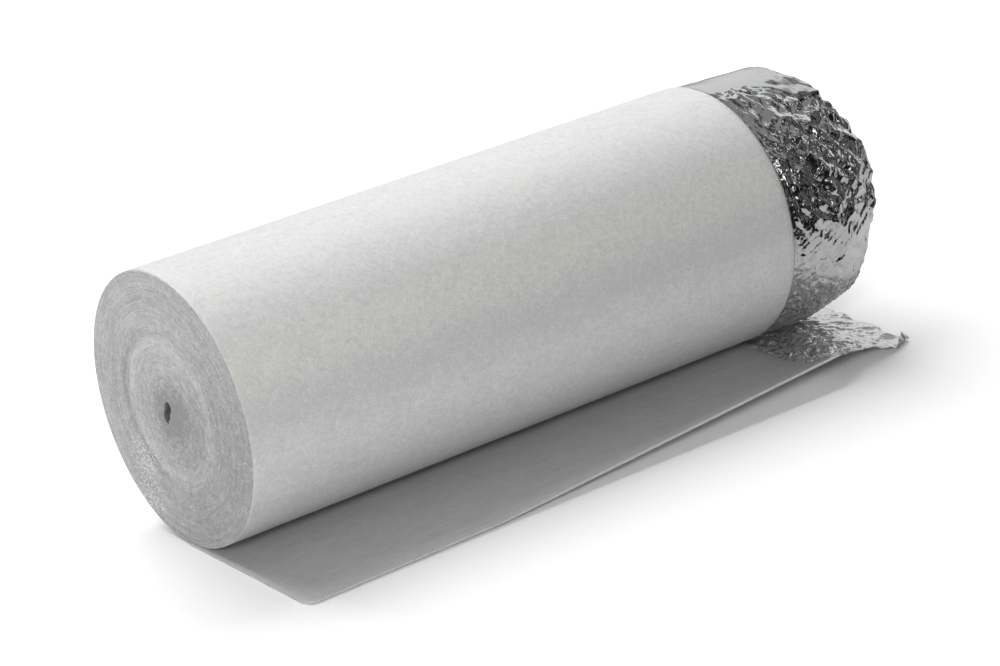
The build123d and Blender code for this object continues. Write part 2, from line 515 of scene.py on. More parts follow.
def collar_zones(angle, out):
    """Shares from 0 to 1 of the smooth top, the flat panels and the dull foil.

    out is the distance from the foam's rim. The smooth top ends at a border
    that wanders down as it goes out.
    """
    wander = WANDER * waves(out / WANDER_OUT, angle / WANDER_ROUND, 51)
    border = np.interp(out, BORDER_OUTS, BORDER_ANGLES)
    top = np.clip((border - angle) / BORDER_SOFT + 0.5, 0, 1)
    top = top * np.clip((angle - REAR_BORDER) / REAR_SOFT + 0.5, 0, 1)
    return top, zone(angle + wander, *PANELS), zone(angle + wander, *DULL)


print("the smooth top runs from", REAR_BORDER, "to", BORDER_ANGLES[0], "degrees")

# %% [markdown]
# The folds are listed with their height, lean, width, length and seed. Broad
# waves carry long folds of flat facets, which run slantwise, crossed by
# narrower ones. Near the rim there are pleats that run round the roll, and
# fine wrinkles cross the flat panels. Slow noise bends them all.

# %% The collar's folds
FACET_SIZES = (0.038, 0.0095, 0.0050, 0.0028)
FACET_HEIGHTS = (0.0046, 0.0014, 0.00035, 0.0002)
FOLDS = (0.0047, 42, 0.0105, 0.022, 35)
CROSSED = (0.0024, -38, 0.0075, 0.016, 37)
WRINKLES = (0.0007, -52, 0.0032, 0.020, 39)
PLEATS = (0.0028, 9, 0.0055, 0.026, 23)
FINE_PLEATS = (0.0009, 13, 0.0029, 0.016, 25)
BEND, BEND_SIZE = 0.004, 0.030
PLEAT_REACH = 0.016
SHOVE, SHOVE_SIZE = 0.0010, 0.015
DEEP, DEEP_FROM, DEEP_OVER = (146, 34, 16), 0.022, 0.02
CORNER_OUT, CORNER_ROUND = (0.045, 0.012), (80, 12)
CALM = (158, 26, 10)
CREASED = 3.2


def collar_relief(angle, out, top, panels, dull):
    """How far the foil stands out, and how far it is shoved round and along.

    Each kind of fold is weighted by the zones, and all are added up: a factor
    of one less a share of a zone fades a fold out in that zone. Lengths are
    in metres.
    """
    s, t = np.radians(angle) * RADIUS, out
    broad, second, small, fine = crumple(s, t, 3, FACET_SIZES, FACET_HEIGHTS)
    bent_s, bent_t = (x + BEND * waves(s / BEND_SIZE, t / BEND_SIZE, seed) for x, seed in ((s, 31), (t, 33)))
    folds, crossed, wrinkles, pleats, fine_pleats = (
        long_facets(bent_s, bent_t, *kind) for kind in (FOLDS, CROSSED, WRINKLES, PLEATS, FINE_PLEATS)
    )
    near_rim = np.exp(-t / PLEAT_REACH)
    deep = rise(t, DEEP_FROM, DEEP_OVER) * zone(angle, *DEEP)
    off_top = 1 - 0.97 * top
    crushed = off_top * (1 - 0.72 * panels) * (1 - 0.75 * dull)
    corner = top * rise(t, *CORNER_OUT) * rise(angle, *CORNER_ROUND)
    height = broad * (1 - 0.9 * near_rim) * (1 - 0.8 * top) * (1 - 0.5 * dull)
    height = height * (1 - 0.6 * zone(angle, *CALM))
    height = height + (folds + crossed) * np.maximum((1 - near_rim) * crushed, 0.5 * corner)
    height = height + wrinkles * off_top * (0.25 + 0.75 * panels) * (1 - 0.6 * dull)
    height = height + second * crushed * (0.7 - 0.7 * deep) + CREASED * (fine + small) * dull
    pleated = (0.15 + near_rim) * off_top * (1 - 0.7 * panels) * (1 - 0.7 * dull)
    height = height + (pleats + fine_pleats) * pleated
    aside = SHOVE * facets(s / SHOVE_SIZE + 7.3, t / SHOVE_SIZE + 3.1, 17) * crushed * (1 - 0.7 * deep)
    ahead = SHOVE * facets(s / SHOVE_SIZE + 2.7, t / SHOVE_SIZE + 5.9, 19) * crushed
    return height, aside, ahead


print("the collar's folds are up to", FOLDS[0], "high and", FOLDS[3], "long")

# %% [markdown]
# The collar's own form is plain: a tube a little narrower than the foam that
# bulges to the front, draws in towards the mouth, and steps in under the edge
# of the smooth layer. The folds are laid on it, and they fade out at the rim,
# where the foam holds the foil, and at the line where the tube's ends meet.

# %% The collar's outside
AROUND_COLLAR = 760
OUT_ROWS = 104
MOUTH_ANGLES = (-90, 0, 60, 77, 96, 107, 118, 128, 149, 163, 183, 199, 225, 270)
MOUTH_REACHES = (
    0.074, 0.088, 0.080, 0.076, 0.073, 0.079, 0.083, 0.090, 0.0945, 0.093, 0.086, 0.080, 0.077, 0.074
)
RAGGED, RAGGED_WIDTH = 0.0020, 9
TORN, TORN_WIDTH = 0.0014, 3.5
SEAM = 8.0
FLAT_AT_RIM = 0.004
MOUTH_DRAW, DRAW_LENGTH, DRAW_POWER, DRAWN_MOST = 0.0075, 0.09, 1.6, 100
BULGE, BULGE_LENGTH, BULGE_ANGLE = 0.0055, 0.1, 165
TOP_TUCK, TOP_TAPER, TOP_LENGTH = 0.0004, 0.0030, 0.076
TUCK, TUCK_REACH = 0.0022, 0.010
UNDER_LEDGE, LEDGE_FADE, LEDGE_OUT = 0.0030, 8, (0.030, 0.025)
REST_ON = SHEET + 0.0004
MOUTH_SPARE = 0.0002


def collar_surface():
    """Points of the collar, their radii, and its zones, as grids.

    The radius is the foam's, less a tuck under the rim and a draw towards
    the mouth, plus a bulge to the front and the relief. Below, it is kept
    above the foil that it rests on.
    """
    angle, share = np.meshgrid(
        np.linspace(-90, 270, AROUND_COLLAR, endpoint=False), np.linspace(0, 1, OUT_ROWS)
    )
    ragged = RAGGED * facets(angle / RAGGED_WIDTH, 0 * angle, 71)
    ragged = ragged + TORN * facets(angle / TORN_WIDTH, 0 * angle, 73)
    out = share * (np.interp(angle, MOUTH_ANGLES, MOUTH_REACHES) + ragged)
    top, panels, dull = collar_zones(angle, out)
    height, aside, ahead = collar_relief(angle, out, top, panels, dull)
    grown = rise(out, 0, FLAT_AT_RIM) * rise(180 - np.abs(angle - 90), 0, SEAM)
    tucked = TUCK * (1 - rise(out, 0, TUCK_REACH))
    drawn = MOUTH_DRAW * (out / DRAW_LENGTH) ** DRAW_POWER
    drawn = drawn * (1 + 0.5 * np.cos(np.radians(angle - DRAWN_MOST)))
    bulge = BULGE * np.sin(np.pi * rise(out, 0, BULGE_LENGTH)) * np.cos(np.radians(angle - BULGE_ANGLE))
    below_border = np.clip(angle - np.interp(out, BORDER_OUTS, BORDER_ANGLES), 0, None)
    ledge = UNDER_LEDGE * np.exp(-below_border / LEDGE_FADE) * (angle > 60) * rise(out, *LEDGE_OUT)
    loose = bulge - tucked - drawn - ledge
    plain = -TOP_TUCK - TOP_TAPER * out / TOP_LENGTH
    radius = RADIUS - FOAM + loose * (1 - top) + plain * top + height * grown
    swing = np.radians(angle) + aside * grown / RADIUS
    under = np.minimum(np.sin(swing), -1e-3)
    lowest = np.where(np.sin(swing) < 0, (REST_ON - RADIUS) / under, np.inf)
    radius = np.minimum(radius, lowest)
    x = RIM_X + np.clip(out + ahead * grown, 0, mouth_high.x - RIM_X - MOUTH_SPARE)
    points = np.stack([x, AXIS_Y + radius * np.cos(swing), RADIUS + radius * np.sin(swing)], -1)
    return points, radius, top, dull


outside, collar_radius, smooth_top, dull_zone = collar_surface()
print("collar radius from", round(collar_radius.min(), 4), "to", round(collar_radius.max(), 4))

# %% [markdown]
# The collar is closed by a plain inner wall, which has to stay inside every
# dent. So at each place its radius is the least that the outside has nearby.

# %% The collar's inner wall, and the piece
WALL = 0.0006
BLOCK = 8
NEAR = 9


def inner_wall(outside, radius):
    """A thin lip at the mouth, then rows of the least radius nearby."""
    centre = np.array((0, AXIS_Y, RADIUS))
    inward = (centre - outside[-1]) * (0, 1, 1)
    lip = outside[-1] + WALL * inward / np.linalg.norm(inward, axis=-1, keepdims=True)
    angle = np.radians(np.linspace(-90, 270, AROUND_COLLAR, endpoint=False))
    rows = [lip]
    for row in range(len(radius) - 1 - BLOCK // 2, -1, -BLOCK):
        least = radius[max(row - BLOCK, 0) : row + BLOCK + 1].min(0)
        least = np.min([np.roll(least, shift) for shift in range(-NEAR, NEAR + 1)], axis=0) - WALL
        x = np.full(AROUND_COLLAR, outside[row, :, 0].min())
        rows.append(np.stack([x, AXIS_Y + least * np.cos(angle), RADIUS + least * np.sin(angle)], -1))
    return np.stack(rows)


def closed_tube(name, outer, inner):
    """A piece from the rows of its outside and then of its inside."""
    grid = np.concatenate([outer, inner])
    rows, columns = grid.shape[:2]
    faces = grid_faces(rows + 1, columns, ring=True) % (rows * columns)
    return make_piece(name, grid.reshape(-1, 3), faces)


inside = inner_wall(outside, collar_radius)
collar = closed_tube("foil_collar_crumpled", outside, inside)
inside_flat = np.zeros(inside.shape[0] * AROUND_COLLAR)
add_value(collar, "smooth", np.concatenate([smooth_top.ravel(), inside_flat]))
add_value(collar, "dull", np.concatenate([dull_zone.ravel(), inside_flat]))
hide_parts("foil_collar")
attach(collar, "root")

# %% [markdown]
# From the other end one looks into the collar's mouth, onto the edges of all
# the turns of foil inside it. They have crumpled onto each other in bundles,
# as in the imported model, so a spiral with fewer turns stands for them: one
# long ribbon whose columns are evenly spaced along it, with thickness, and
# wavy in step with its neighbours so that the turns nest.

# %% The turns of foil in the mouth
MOUTH_RADIUS = 0.096
MOUTH_LEAN = 0.006
BUNDLES, BUNDLE_PITCH = 9, 0.00933
BUNDLE_HOLLOW = 0.012
BUNDLE_LEAN = 0.0010
RIBBON_TURNS = 17.0
RIBBON_OUTER, RIBBON_INNER = 0.0905, 0.0115
RIBBON_COLUMNS, RIBBON_ROWS = 2300, 21
RIBBON_HALF = 0.00016
RIBBON_REACH, RIBBON_UNEVEN = 0.092, 0.007
RIBBON_TORN, TORN_LENGTH = 0.0025, 0.009
OUTER_BACK, OUTER_BUNDLES = 0.008, 1.5
TOGETHER, OWN_WAVE, OWN_CREASE = 0.0026, (0.0012, 0.011), (0.0005, 0.0052)
GROWN_BY, LEAST_RADIUS = 0.02, 0.004
MIDDLE_RISE = (0.01, 0.05)


def ribbon_points(side):
    """One face of the ribbon, side half a thickness in or out.

    The area inside each turn shrinks evenly with the length along the ribbon,
    so the radius is the root of what is left. Its turns lie two to a bundle
    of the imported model: towards their edges they lean together, and between
    the bundles a furrow is left.
    """
    pitch = (RIBBON_OUTER - RIBBON_INNER) / RIBBON_TURNS
    length = np.pi * (RIBBON_OUTER**2 - RIBBON_INNER**2) / pitch
    s = np.linspace(0, length, RIBBON_COLUMNS)
    radius = np.sqrt(RIBBON_OUTER**2 - pitch * s / np.pi)
    turn = (RIBBON_OUTER - radius) / pitch
    share, s = np.meshgrid(1 - (1 - np.linspace(0, 1, RIBBON_ROWS)) ** 1.5, s, indexing="ij")
    angle = 2 * np.pi * turn - np.pi / 2
    bundle = (MOUTH_RADIUS - radius) / BUNDLE_PITCH
    uneven = RIBBON_UNEVEN * (0.5 + 0.5 * facets(turn * 5 + 3, 0 * turn, 83))
    torn = RIBBON_TORN * facets(s / TORN_LENGTH, 0 * s, 85)
    edge = RIBBON_REACH - BUNDLE_HOLLOW * bundle / BUNDLES - uneven - torn
    out = share * (edge - OUTER_BACK * np.exp(-bundle / OUTER_BUNDLES))
    leaning = BUNDLE_LEAN * np.sin(2 * np.pi * bundle) * share
    u, v = np.cos(angle) * 2.6 + 5 + turn / 9, np.sin(angle) * 2.6 + out / 0.03
    waviness = TOGETHER * facets(u, v, 87)
    for (size, length), seed in ((OWN_WAVE, 89), (OWN_CREASE, 91)):
        waviness = waviness + size * facets(s / length, out / length, seed)
    r = np.maximum(radius + leaning + waviness * rise(out, 0, GROWN_BY) + side, LEAST_RADIUS)
    x = RIM_X + MOUTH_SPARE + out
    y = AXIS_Y + r * np.cos(angle) - MOUTH_LEAN * share * rise(radius, *MIDDLE_RISE)
    return np.stack([x, y, RADIUS + r * np.sin(angle)], -1)


turns = slab("foil_mouth_turns", ribbon_points(-RIBBON_HALF), ribbon_points(RIBBON_HALF))
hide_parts("foil_collar")
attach(turns, "root")

# %% [markdown]
# On the free end the foil is bonded to the foam, so it lies smooth. Past the
# foam's edge it is loose again: it drops to the floor, crumpled close to the
# roll and then wrinkled in long streaks that run out from it. It is one
# closed slab, with a coarse grid where it is smooth and a fine one where it
# is wrinkled.

# %% The wrinkles of the flap
COARSE_ROWS, FINE_ROWS, SHARE_COLUMNS = 110, 185, 155
FINE_FROM = WIDTH - 0.012
LOOSE_LEAD, LOOSE_SOFT = 0.004, 0.009
EDGE_WANDER, EDGE_WAVE = 0.003, 0.012
FLAP_SIZES = (0.019, 0.0095, 0.0052, 0.003)
FLAP_HEIGHTS = (0.0030, 0.0017, 0.00085, 0.00036)
STREAK_ALONG, STREAK_ACROSS = 0.81, 0.585
STREAKS, FINE_STREAKS = (0.0015, 0.0065, 0.030), (0.0007, 0.0032, 0.016)
CRUMPLED_REACH = 0.036
UNDER_ROLL, LEAST_RELIEF = (0.018, 0.02), 0.12


def flap_relief(along, share):
    """Height of the wrinkles over the smooth foil in metres, and where it is loose.

    Near the foam the smaller facets count most, and further out the larger
    ones and the streaks.
    """
    past = along - WIDTH
    out = share * np.interp(along, STATIONS, REACHES)
    wander = EDGE_WANDER * waves(out / EDGE_WAVE, 0 * out, 95)
    loose = rise(past + wander, -LOOSE_LEAD, LOOSE_SOFT)
    s, t = out + 0.35 * past, past - 0.2 * out
    large, middle, small, fine = crumple(s, 0.62 * t, 101, FLAP_SIZES, FLAP_HEIGHTS)
    across = STREAK_ALONG * past - STREAK_ACROSS * out
    lengthways = STREAK_ACROSS * past + STREAK_ALONG * out
    streaks = 0
    for (size, width, length), seed in ((STREAKS, 107), (FINE_STREAKS, 109)):
        streaks = streaks + size * facets(across / width, lengthways / length, seed)
    near_foam = np.exp(-np.clip(past, 0, None) / CRUMPLED_REACH)
    relief = large * (1 - 0.6 * near_foam) + middle * (0.5 + 0.9 * near_foam)
    relief = relief + small * (0.5 + 2.0 * near_foam) + fine * (1 + 1.5 * near_foam)
    relief = relief + streaks * (1 - near_foam)
    return relief * np.maximum(rise(out, *UNDER_ROLL), LEAST_RELIEF), loose


along_steps = np.concatenate([
    np.linspace(0, FINE_FROM, COARSE_ROWS, endpoint=False),
    np.linspace(FINE_FROM, WIDTH + FLAP, FINE_ROWS),
])
flap_along, flap_share = np.meshgrid(along_steps, np.linspace(0, 1, SHARE_COLUMNS), indexing="ij")
relief, loose = flap_relief(flap_along, flap_share)
print("wrinkles from", round(relief.min(), 4), "to", round(relief.max(), 4))

# %% [markdown]
# The outer corner of the flap is turned over. Every point beyond a slanting
# crease is swung round that crease, so the corner stands up and leans back
# over the flap.

# %% The folded corner
CREASE_FROM_TIP = 0.0095
CREASE_SLANT = math.radians(-67)
FOLD = math.radians(125)


def fold_corner(points):
    """Swings what lies beyond the crease about it, by the angle FOLD."""
    tip = np.array((RIM_X + FLAP, AXIS_Y - REACHES[-1]))
    square = np.array((math.cos(CREASE_SLANT), math.sin(CREASE_SLANT)))
    beyond = (points[..., :2] - tip) @ square + CREASE_FROM_TIP
    turned = np.clip(beyond, 0, None)
    folded = points.copy()
    folded[..., :2] -= (turned * (1 - math.cos(FOLD)))[..., None] * square
    folded[..., 2] += turned * math.sin(FOLD)
    return folded


print("the corner is folded by", round(math.degrees(FOLD)), "degrees")

# %% [markdown]
# The slab's underside lies on the foam, and past the foam it drops to just
# above the floor and takes on the wrinkles. Its far edge is torn, with a
# notch beside the folded corner.

# %% The foil of the free end and its flap
DROP = 0.014
FLAP_RIDE = 0.0022
LEAST_HEIGHT = 0.0002
TORN_END, TORN_WIDER = 0.0014, 0.0020
NOTCH, NOTCH_AT, NOTCH_WIDTH = 0.006, 0.77, 0.06
TEARS = 14

past = np.clip(flap_along - WIDTH, 0, None)
ride_height = FOAM + (FLAP_RIDE - FOAM) * rise(past, 0, DROP)
bonded = free_end_points(flap_along, flap_share, FOAM)
square = (bonded - free_end_points(flap_along, flap_share, 0.0)) / FOAM
loose_points = bonded + square * (ride_height + relief - FOAM)[..., None]
under = bonded + (loose_points - bonded) * loose[..., None]
under[..., 2] = np.where(past > 0, np.maximum(under[..., 2], LEAST_HEIGHT), under[..., 2])
torn_end = TORN_END * (facets(flap_share * TEARS, 0 * flap_share, 111) - 1) - TORN_WIDER * flap_share
torn_end = torn_end - NOTCH * np.exp(-(((flap_share - NOTCH_AT) / NOTCH_WIDTH) ** 2))
under[..., 0] += torn_end * rise(flap_along, WIDTH + 0.6 * FLAP, 0.4 * FLAP)
over = under + square * FOIL
foil_free = slab("foil_free_end_sheet", fold_corner(under), fold_corner(over))
add_value(foil_free, "loose", np.concatenate([loose.ravel(), loose.ravel()]))
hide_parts("foil_free_end")
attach(foil_free, "root")

# %% [markdown]
# Now the finishes. A material is a tree of nodes, and short helpers put a
# node in, set it and link it, so that each material below reads as a list. A
# tone is built up from shares of several patterns, and then it picks the
# colour between a dark one and a light one.

# %% Putting nodes together
def feed(tree, node, inputs):
    """Sets a node's inputs, each to a value or to another node's output."""
    for name, value in inputs.items():
        if isinstance(value, bpy.types.NodeSocket):
            tree.links.new(value, node.inputs[name])
        else:
            node.inputs[name].default_value = value
    return node


def add(tree, kind, inputs=None, **settings):
    """A new node with its settings and its inputs."""
    node = tree.nodes.new("ShaderNode" + kind)
    for name, value in settings.items():
        setattr(node, name, value)
    return feed(tree, node, inputs or {})


def math_node(tree, operation, *values):
    """The output of a Math node."""
    return add(tree, "Math", dict(enumerate(values)), operation=operation).outputs[0]


def times(tree, first, second):
    """The product of two values."""
    return math_node(tree, "MULTIPLY", first, second)


def with_share(tree, value, share, other):
    """A value and a share of another one, added up."""
    return math_node(tree, "MULTIPLY_ADD", other, share, value)


def vector_node(tree, operation, *values):
    """The outputs of a Vector Math node: a vector, and for some a Value."""
    return add(tree, "VectorMath", dict(enumerate(values)), operation=operation).outputs


# %% [markdown]
# Most of what a finish needs is one value made from another: a share that
# rises over a range, a band that is strongest in its middle, or a colour
# between two. A bump bends the normal by a height, so that light breaks on
# creases too small for the mesh.

# %% Ramps, bands and mixes
def ramp(tree, value, from_low, from_high, to_low, to_high):
    """A value carried from one range to another, and kept inside it."""
    ends = {"From Min": from_low, "From Max": from_high, "To Min": to_low, "To Max": to_high}
    return add(tree, "MapRange", {"Value": value, **ends}, clamp=True).outputs[0]


def band(tree, value, middle, half):
    """One at a middle value, and falling evenly to zero on both sides."""
    apart = math_node(tree, "ABSOLUTE", math_node(tree, "SUBTRACT", value, middle))
    return ramp(tree, apart, 0.0, half, 1.0, 0.0)


def mix_colour(tree, share, low, high):
    """A colour between two, by a share from 0 to 1."""
    return add(tree, "Mix", {0: share, 6: low, 7: high}, data_type="RGBA").outputs[2]


def object_place(tree):
    """Where a point lies on its object."""
    return add(tree, "TexCoord").outputs["Object"]


def attribute(tree, name):
    """A number that the mesh carries."""
    return add(tree, "Attribute", attribute_name=name).outputs["Fac"]


def bump(tree, height, strength, distance):
    """A normal that is bent by a height."""
    return add(tree, "Bump", {"Height": height, "Strength": strength, "Distance": distance}).outputs[0]


# %% [markdown]
# Every finish here starts from an empty tree with one main shader, because
# foam and foil differ only in what goes into it. The shader itself stays in
# the material and not in a group, so that the finish can be baked.

# %% A new material
def new_material(name):
    """A material, its tree and its main shader, already on the output."""
    material = bpy.data.materials.new(name)
    material.use_nodes = True
    tree = material.node_tree
    tree.nodes.clear()
    shader = add(tree, "BsdfPrincipled")
    add(tree, "OutputMaterial", {"Surface": shader.outputs[0]})
    print("finish", name)
    return material, tree, shader


# %% [markdown]
# Foam skin, cut foam and bonded foil share a fine mottled grain, and all the
# foil has the same tiny creases, so each is a node group with its own inputs.
# The creases use the same sum as the meshes: the squared distances to the
# nearest points of two scattered sets, one taken from the other.

# %% Shared effects
FINE_NOISE, WIDE_NOISE, WIDE_SCALE = (3.0, 0.65), (4.0, 0.6), 0.3
FINE_SHARE, WIDE_SHARE, TONE_RANGE = 0.6, 0.4, (0.38, 0.62)
CREASE_SHIFT = (7.31, 3.17, 5.53)


def new_group(name, scale, outputs):
    """A node group that takes a place and a scale, and gives some values."""
    group = bpy.data.node_groups.new(name, "ShaderNodeTree")
    group.interface.new_socket("Vector", in_out="INPUT", socket_type="NodeSocketVector")
    size = group.interface.new_socket("Scale", in_out="INPUT", socket_type="NodeSocketFloat")
    size.default_value = scale
    for label in outputs:
        group.interface.new_socket(label, in_out="OUTPUT", socket_type="NodeSocketFloat")
    return group, group.nodes.new("NodeGroupInput").outputs, group.nodes.new("NodeGroupOutput")


def use_group(tree, group, place, scale):
    """The outputs of a group that is placed in a material."""
    return add(tree, "Group", {"Vector": place, "Scale": scale}, node_tree=group).outputs


def noise(tree, place, scale, detail, rough):
    """A cloudy pattern from 0 to 1."""
    inputs = {"Vector": place, "Scale": scale, "Detail": detail, "Roughness": rough}
    return add(tree, "TexNoise", inputs).outputs[0]


grain, given, gives = new_group("mottled_grain", 700.0, ("Height", "Tone"))
fine = noise(grain, given["Vector"], given["Scale"], *FINE_NOISE)
wide = noise(grain, given["Vector"], times(grain, given["Scale"], WIDE_SCALE), *WIDE_NOISE)
both = with_share(grain, times(grain, fine, FINE_SHARE), WIDE_SHARE, wide)
feed(grain, gives, {"Height": fine, "Tone": ramp(grain, both, *TONE_RANGE, 0.0, 1.0)})

creases, given, gives = new_group("foil_creases", 300.0, ("Height",))
squares = []
for spot in (given["Vector"], vector_node(creases, "ADD", given["Vector"], CREASE_SHIFT)[0]):
    nearest = add(creases, "TexVoronoi", {"Vector": spot, "Scale": given["Scale"]})
    squares.append(math_node(creases, "POWER", nearest.outputs["Distance"], 2.0))
feed(creases, gives, {"Height": math_node(creases, "SUBTRACT", *squares)})
print("groups", grain.name, creases.name)

# %% [markdown]
# The foam's skin is white and soft, with the fine grain of its burst cells and
# faint wider blotches. The same grain at two scales gives both, and as bump
# it also breaks up the light. Round the roll the skin also carries painted
# light and shade: high up a band of painted light, halfway down a faintly
# warm band of painted sheen and then a band of painted shade. The wall of
# the narrow eye hardly gets any light, so painted shade darkens it round the
# eye's own middle.

# %% The foam's skin
FOAM_DARK = (0.645, 0.65, 0.655, 1)
FOAM_LIGHT = (0.87, 0.87, 0.865, 1)
# The warm colour of a painted sheen.
PAINTED_SHEEN_CREAM = (0.885, 0.88, 0.815, 1)
EYE_DARK = (0.17, 0.17, 0.175, 1)
EYE_FROM, EYE_TO = 0.012, 0.016
SKIN_GRAIN, SKIN_BLOTCHES = 900.0, 180.0
GRAIN_SHARE, BLOTCH_SHARE = 0.75, 0.25
SKIN_ROUGH, SKIN_BUMP = (0.36, 0.52), (0.7, 0.0010)
# Bands round the roll: painted light high up, painted warm sheen halfway down, painted shade below.
PAINTED_LIGHT_BAND, PAINTED_LIGHT_SHARE = (math.radians(72), math.radians(30)), 0.42
PAINTED_SHADE_BAND, PAINTED_SHADE_SHARE = (math.radians(8), math.radians(15)), -0.45
PAINTED_SHEEN_BAND, PAINTED_SHEEN_SHARE = (math.radians(31), math.radians(15)), 0.14


def angle_round(tree, place):
    """The angle round the roll's axis, zero towards the free end, up from there."""
    centred = vector_node(tree, "SUBTRACT", place, (0.0, AXIS_Y, RADIUS))[0]
    sides = add(tree, "SeparateXYZ", {"Vector": centred}).outputs
    return math_node(tree, "ARCTAN2", sides["Z"], times(tree, sides["Y"], -1.0))


def foam_skin():
    """White foam with a fine grain, bands of painted light, sheen and shade, and painted shade in the eye.
    """
    material, tree, shader = new_material("foam_skin")
    place = object_place(tree)
    mottle = use_group(tree, grain, place, SKIN_GRAIN)
    blotches = use_group(tree, grain, place, SKIN_BLOTCHES)
    around = angle_round(tree, place)
    # Bands of painted light, painted warm sheen and painted shade round the roll.
    painted_sheen = band(tree, around, *PAINTED_SHEEN_BAND)
    tone = with_share(tree, times(tree, mottle["Tone"], GRAIN_SHARE), BLOTCH_SHARE, blotches["Tone"])
    tone = with_share(tree, tone, PAINTED_LIGHT_SHARE, band(tree, around, *PAINTED_LIGHT_BAND))
    tone = with_share(tree, tone, PAINTED_SHADE_SHARE, band(tree, around, *PAINTED_SHADE_BAND))
    tone = with_share(tree, tone, PAINTED_SHEEN_SHARE, painted_sheen)
    painted_sheen = times(tree, painted_sheen, ramp(tree, blotches["Tone"], 0.0, 0.8, 0.1, 1.0))
    colour = mix_colour(tree, tone, FOAM_DARK, mix_colour(tree, painted_sheen, FOAM_LIGHT, PAINTED_SHEEN_CREAM))
    eye = (0.0, AXIS_Y + EYE_ASIDE[0], RADIUS + EYE_ASIDE[1])
    in_section = vector_node(tree, "MULTIPLY", place, (0.0, 1.0, 1.0))[0]
    from_eye = vector_node(tree, "DISTANCE", in_section, eye)["Value"]
    feed(tree, shader, {
        "Base Color": mix_colour(tree, ramp(tree, from_eye, EYE_FROM, EYE_TO, 1.0, 0.0), colour, EYE_DARK),
        "Roughness": ramp(tree, mottle["Tone"], 0.0, 1.0, *SKIN_ROUGH),
        "Normal": bump(tree, mottle["Height"], *SKIN_BUMP),
    })
    return material


skin = foam_skin()

# %% [markdown]
# The cut end shows every turn's edge. The mesh carries two numbers for it:
# how far in along the spiral a point is, in turns, and whether it lies on the
# line between two turns. Groups of turns were cut a little rougher than
# others, so arcs and whole rings of them are lighter or darker. The rim at
# the back is paler. Painted light makes the top lighter, and painted shade
# makes the front darker and darkens the turns close to the eye.

# %% The tone of the cut end
CUT_DARK = (0.38, 0.385, 0.395, 1)
CUT_LIGHT = (0.84, 0.845, 0.855, 1)
ARC_DRAWN, ARC_SCALE, ARC_CLOUDS = 0.55, (1.3, 1.3, 1.3), (1.6, 4.0, 0.7)
ARC_RANGE, ARC_TONES, CUT_MOTTLE = (0.36, 0.64), (-0.06, 0.30), 0.66
LIGHT_RING, LIGHTER = (27.0, 5.0), 0.26
DARK_RING, DARK_SIDE, DARKER = (22.5, 3.0), (-0.2, 0.6), 0.34
RIM_TURNS, RIM_SIDE, RIM_PALER = (2.0, 12.0), (0.3, 0.9), 0.14
# Painted light on top of the cut end, painted shade at its front and round the eye.
TOP_FROM, TOP_PAINTED_LIGHT = 0.2, 0.24
FRONT_TO, FRONT_PAINTED_SHADE = 0.2, 0.24
EYE_SHADE_FROM, EYE_SHADE_TO, EYE_SHADE_DEPTH, EYE_SHADE_SPOTS = 38.0, 49.0, 0.8, (1.3, 0.5)


def cut_arcs(tree, towards, wound):
    """Arcs of turns: cloudy noise by direction, drawn on from turn to turn."""
    drawn = add(tree, "CombineXYZ", {"X": times(tree, wound, ARC_DRAWN)}).outputs[0]
    return noise(tree, vector_node(tree, "MULTIPLY_ADD", towards, ARC_SCALE, drawn)[0], *ARC_CLOUDS)


def cut_tone(tree, towards, wound, mottle, arcs):
    """How light the cut foam is, and where its rim is pale.

    Grain, arcs, the light ring, painted light on top and the rim are added
    up; the dark ring and painted shade at the front and near the eye are taken off.
    """
    sides = add(tree, "SeparateXYZ", {"Vector": towards}).outputs
    aside, up = sides["Y"], sides["Z"]
    rim = times(tree, ramp(tree, wound, *RIM_TURNS, 1.0, 0.0), ramp(tree, aside, *RIM_SIDE, 0.0, 1.0))
    tone = with_share(tree, ramp(tree, arcs, *ARC_RANGE, *ARC_TONES), CUT_MOTTLE, mottle)
    tone = with_share(tree, tone, LIGHTER, band(tree, wound, *LIGHT_RING))
    # Painted light: the top of the cut end is lighter.
    tone = math_node(tree, "ADD", tone, ramp(tree, up, TOP_FROM, 1.0, 0.0, TOP_PAINTED_LIGHT))
    tone = with_share(tree, tone, RIM_PALER, rim)
    dark = times(tree, band(tree, wound, *DARK_RING), ramp(tree, aside, *DARK_SIDE, 0.0, DARKER))
    # Painted shade: the front of the cut end is darker.
    dark = math_node(tree, "ADD", dark, ramp(tree, aside, -1.0, FRONT_TO, FRONT_PAINTED_SHADE, 0.0))
    # Painted shade on the turns close to the eye, broken up by the grain.
    eye_shade = ramp(tree, wound, EYE_SHADE_FROM, EYE_SHADE_TO, 0.0, EYE_SHADE_DEPTH)
    eye_shade = times(tree, eye_shade, ramp(tree, mottle, 0.0, 1.0, *EYE_SHADE_SPOTS))
    return math_node(tree, "SUBTRACT", math_node(tree, "SUBTRACT", tone, dark), eye_shade), rim


print("the stain begins", TURNS - EYE_SHADE_FROM, "turns from the eye")

# %% [markdown]
# Between two turns there is a thin line, strong in some arcs and on the
# outermost turns, and hardly there on the pale rim. Low at the back, specks
# of torn foil get painted glints: small cells get a random number each, and
# those below a chance that falls off from two spots are painted white.

# %% The foam's cut end
TURN_LINE = (0.44, 0.445, 0.455, 1)
LINE_SHARE, LINE_ARCS, LINE_MARKED = 0.32, (0.42, 0.58), (0.42, 0.03)
OUTER_LINES, OUTER_MARKED, RIM_MARKED = (1.5, 3.5), 0.8, 0.15
CUT_GRAIN, CUT_ROUGH, CUT_BUMP, EDGE_SUNK = 800.0, 0.55, (0.8, 0.0008), -0.15
